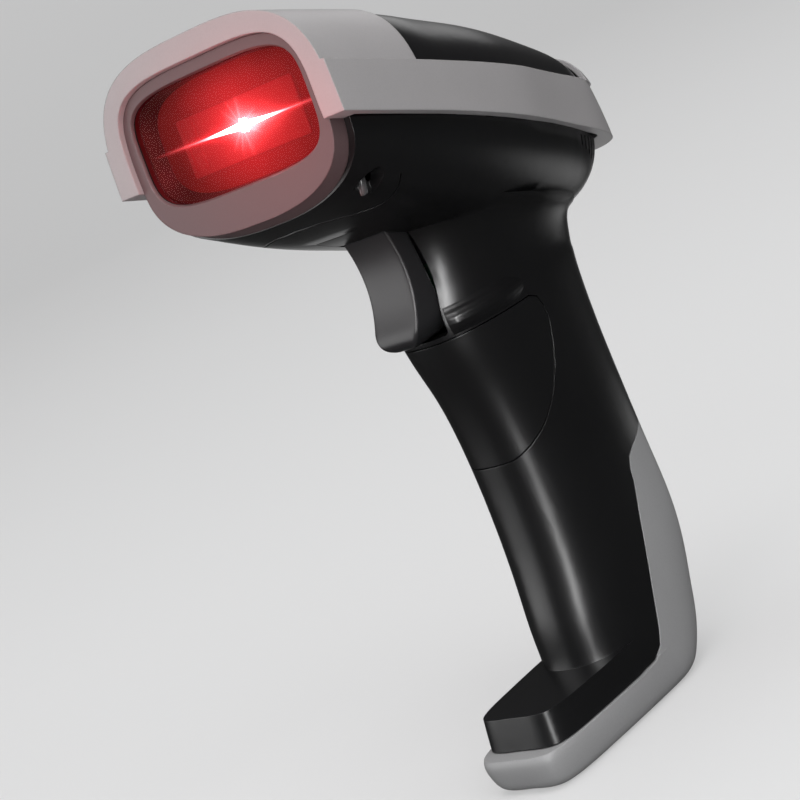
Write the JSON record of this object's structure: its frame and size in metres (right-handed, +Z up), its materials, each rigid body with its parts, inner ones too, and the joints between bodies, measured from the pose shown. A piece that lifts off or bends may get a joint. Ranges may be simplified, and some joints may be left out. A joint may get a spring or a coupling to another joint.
{
  "type": "handheld barcode scanner",
  "caption": "Pistol-shaped handheld barcode scanner with a hooded red scan window, a pull trigger and a flat sole it stands on.",
  "frame": {"origin": "centre of the sole's resting face", "axes": "+Z up; the scan window looks along -Y; +X is the scanner's left-hand side"},
  "size_m": [0.071, 0.1034, 0.1721],
  "materials": {
    "black_shell": "moulded ABS with a soft satin gloss",
    "black_panel": "moulded ABS, satin gloss",
    "grey_frame": "fine-textured grey polycarbonate",
    "grey_heel": "fine-textured grey polycarbonate",
    "bezel_grey": "warm grey moulding",
    "red_window": "clear red acrylic",
    "gasket_foam": "closed-cell foam",
    "trigger_plastic": "moulded ABS, fine texture",
    "door_plastic": "moulded ABS, satin gloss",
    "pin_steel": "ground steel",
    "spring_steel": "spring wire",
    "screw_steel": "zinc plated, black passivated",
    "pcb_green": "solder mask over glass epoxy",
    "chip_black": "moulded package",
    "shield_tin": "tin-plated sheet",
    "engine_zinc": "die cast, dark",
    "lid_steel": "stamped sheet",
    "laser_brass": "turned brass",
    "lens_glass": "coated glass",
    "mirror_face": "polished",
    "coil_copper": "enamelled copper winding",
    "cell_wrap": "heat-shrink sleeve",
    "cradle_plastic": "moulded nylon",
    "contact_nickel": "nickel plated",
    "flex_amber": "polyimide film",
    "wire_red": "PVC insulation",
    "socket_shell": "stamped steel",
    "lead_plug": "nylon",
    "beeper_black": "moulded",
    "switch_body": "moulded",
    "plunger_grey": "moulded"
  },
  "bodies": {
    "housing": {"main_housing": "black_shell", "hood_frame": "grey_frame", "top_panel": "black_panel", "nose_bezel": "bezel_grey", "window_lens": "red_window", "window_gasket": "gasket_foam", "heel_frame": "grey_heel", "trigger_pin": "pin_steel", "trigger_spring": "spring_steel", "switch_bracket": "cradle_plastic", "switch_board": "pcb_green", "trigger_switch": "switch_body", "battery_cell": "cell_wrap", "battery_cradle": "cradle_plastic", "battery_contacts": "contact_nickel", "charge_board": "pcb_green", "usb_socket": "socket_shell", "charge_chips": "chip_black", "decode_board": "pcb_green", "decoder_shield": "shield_tin", "decoder_chips": "chip_black", "radio_module": "shield_tin", "beeper": "beeper_black", "beeper_holder": "cradle_plastic", "engine_chassis": "engine_zinc", "engine_lid": "lid_steel", "laser_module": "laser_brass", "laser_lens": "lens_glass", "laser_cradle": "cradle_plastic", "drive_coil": "coil_copper", "sensor_board": "pcb_green", "photodiode": "chip_black", "engine_flex": "flex_amber", "trigger_flex": "flex_amber", "battery_leads": "wire_red", "lead_socket": "lead_plug", "frame_screws": "screw_steel", "board_screws": "screw_steel", "engine_screws": "screw_steel", "bracket_screws": "screw_steel", "sole_screw": "screw_steel", "charge_screws": "screw_steel"},
    "trigger": {"trigger": "trigger_plastic"},
    "plunger": {"switch_plunger": "plunger_grey"},
    "mirror": {"scan_mirror": "mirror_face"},
    "door": {"battery_door": "door_plastic"}
  },
  "joints": [
    {"name": "trigger_pull", "type": "hinge", "parent": "housing", "child": "trigger", "pos_m": [0, -0.0182, 0.1302], "axis": [1, 0, 0], "range_deg": [0, 4.5], "deforming": ["trigger_spring"]},
    {"name": "switch_press", "type": "slide", "parent": "housing", "child": "plunger", "axis": [0, 1, 0], "range_m": [0, 0.0018]},
    {"name": "mirror_sweep", "type": "hinge", "parent": "housing", "child": "mirror", "pos_m": [0, -0.00445, 0.13879], "axis": [0, 0.342, 0.9397], "range_deg": [-10, 10]},
    {"name": "door_slide", "type": "slide", "parent": "housing", "child": "door", "axis": [0, -1, 0], "range_m": [0, 0.03]}
  ],
  "couplings": [
    {"joint": "switch_press", "follows": "trigger_pull", "m_per_rad": 0.0211}
  ]
}
